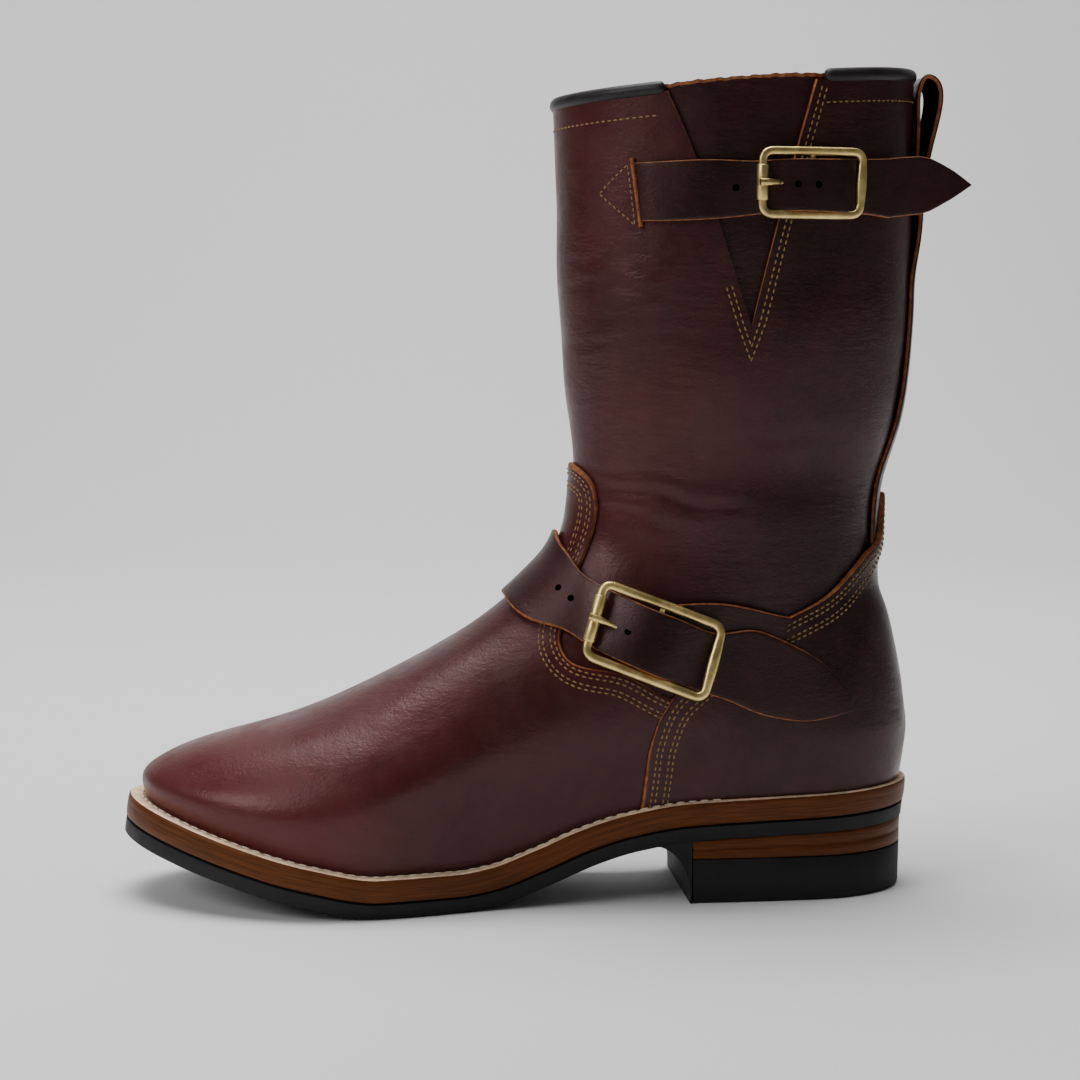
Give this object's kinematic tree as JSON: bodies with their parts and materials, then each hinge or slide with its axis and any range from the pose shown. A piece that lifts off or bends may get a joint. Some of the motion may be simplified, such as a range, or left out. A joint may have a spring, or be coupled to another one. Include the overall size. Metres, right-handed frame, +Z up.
{
  "type": "engineer boot",
  "caption": "Left pull-on leather boot with a tall shaft, instep and collar straps with roller buckles, side gusset, welted sole and stacked heel.",
  "frame": {"origin": "on the floor, at the middle of the heel's ground face", "axes": "+Z up, toe towards -X, outer side of the left foot towards -Y"},
  "size_m": [0.3244, 0.1135, 0.3145],
  "materials": {
    "upper_leather": "oiled, gently glossy",
    "binding_leather": "soft satin",
    "insole_leather": "matt",
    "welt_leather": "matt",
    "edge_leather": "stained and waxed",
    "outsole_rubber": "matt",
    "buckle_brass": "brushed, aged"
  },
  "bodies": {
    "root": {"outsole": "outsole_rubber", "midsole": "edge_leather", "welt": "welt_leather", "heel_lift": "edge_leather", "heel_block": "outsole_rubber", "insole": "insole_leather", "upper": "upper_leather", "vamp": "upper_leather", "counter": "upper_leather", "gusset": "upper_leather", "collar_binding": "binding_leather", "backstay": "upper_leather", "instep_strap": "upper_leather", "instep_chape": "upper_leather", "instep_buckle_frame": "buckle_brass", "instep_buckle_roller": "buckle_brass", "instep_buckle_prong": "buckle_brass", "top_strap": "upper_leather", "top_chape": "upper_leather", "top_buckle_frame": "buckle_brass", "top_buckle_roller": "buckle_brass", "top_buckle_prong": "buckle_brass"}
  },
  "joints": []
}
